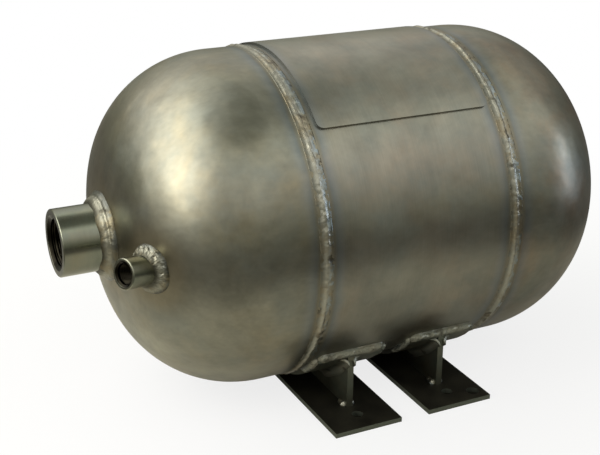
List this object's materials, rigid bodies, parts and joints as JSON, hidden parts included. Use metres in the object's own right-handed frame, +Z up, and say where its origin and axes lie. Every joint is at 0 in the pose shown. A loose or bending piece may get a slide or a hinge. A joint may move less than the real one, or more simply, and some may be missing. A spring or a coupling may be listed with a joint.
{
  "type": "horizontal pressure vessel",
  "caption": "Small horizontal welded stainless pressure vessel with dished heads, threaded couplings on one head, a top doubler pad and two saddles with anchor holes.",
  "frame": {"origin": "centre of the anchor hole pattern on the underside of the base plates, below the middle of the shell", "axes": "+X along the tank away from the outlet coupling, +Y to the back, +Z up"},
  "size_m": [0.5528, 0.3286, 0.3396],
  "materials": {
    "shell_steel": "mill-finish stainless, rolled, satin and slightly cloudy",
    "head_steel": "pressed stainless, satin with dull patches",
    "pad_steel": "mill-finish stainless sheet, satin",
    "coupling_steel": "turned stainless bar, satin",
    "weld_metal": "rippled stainless weld with heat tint",
    "saddle_steel": "hot-rolled stainless plate, dull",
    "base_steel": "hot-rolled stainless plate, dark and dull with bright cut edges"
  },
  "bodies": {
    "root": {"shell": "shell_steel", "left_head": "head_steel", "right_head": "head_steel", "left_girth_weld": "weld_metal", "right_girth_weld": "weld_metal", "top_pad": "pad_steel", "outlet_coupling": "coupling_steel", "outlet_weld": "weld_metal", "gauge_coupling": "coupling_steel", "gauge_weld": "weld_metal", "left_saddle_base_plate": "base_steel", "left_saddle_web": "saddle_steel", "left_saddle_strap": "saddle_steel", "left_saddle_strap_weld_front": "weld_metal", "left_saddle_strap_weld_back": "weld_metal", "left_saddle_side_weld_front_left": "weld_metal", "left_saddle_web_seam_front_left": "weld_metal", "left_saddle_foot_weld_front_left": "weld_metal", "left_saddle_side_weld_front_right": "weld_metal", "left_saddle_web_seam_front_right": "weld_metal", "left_saddle_foot_weld_front_right": "weld_metal", "left_saddle_side_weld_back_left": "weld_metal", "left_saddle_web_seam_back_left": "weld_metal", "left_saddle_foot_weld_back_left": "weld_metal", "left_saddle_side_weld_back_right": "weld_metal", "left_saddle_web_seam_back_right": "weld_metal", "left_saddle_foot_weld_back_right": "weld_metal", "right_saddle_base_plate": "base_steel", "right_saddle_web": "saddle_steel", "right_saddle_strap": "saddle_steel", "right_saddle_strap_weld_front": "weld_metal", "right_saddle_strap_weld_back": "weld_metal", "right_saddle_side_weld_front_left": "weld_metal", "right_saddle_web_seam_front_left": "weld_metal", "right_saddle_foot_weld_front_left": "weld_metal", "right_saddle_side_weld_front_right": "weld_metal", "right_saddle_web_seam_front_right": "weld_metal", "right_saddle_foot_weld_front_right": "weld_metal", "right_saddle_side_weld_back_left": "weld_metal", "right_saddle_web_seam_back_left": "weld_metal", "right_saddle_foot_weld_back_left": "weld_metal", "right_saddle_side_weld_back_right": "weld_metal", "right_saddle_web_seam_back_right": "weld_metal", "right_saddle_foot_weld_back_right": "weld_metal"}
  },
  "joints": []
}
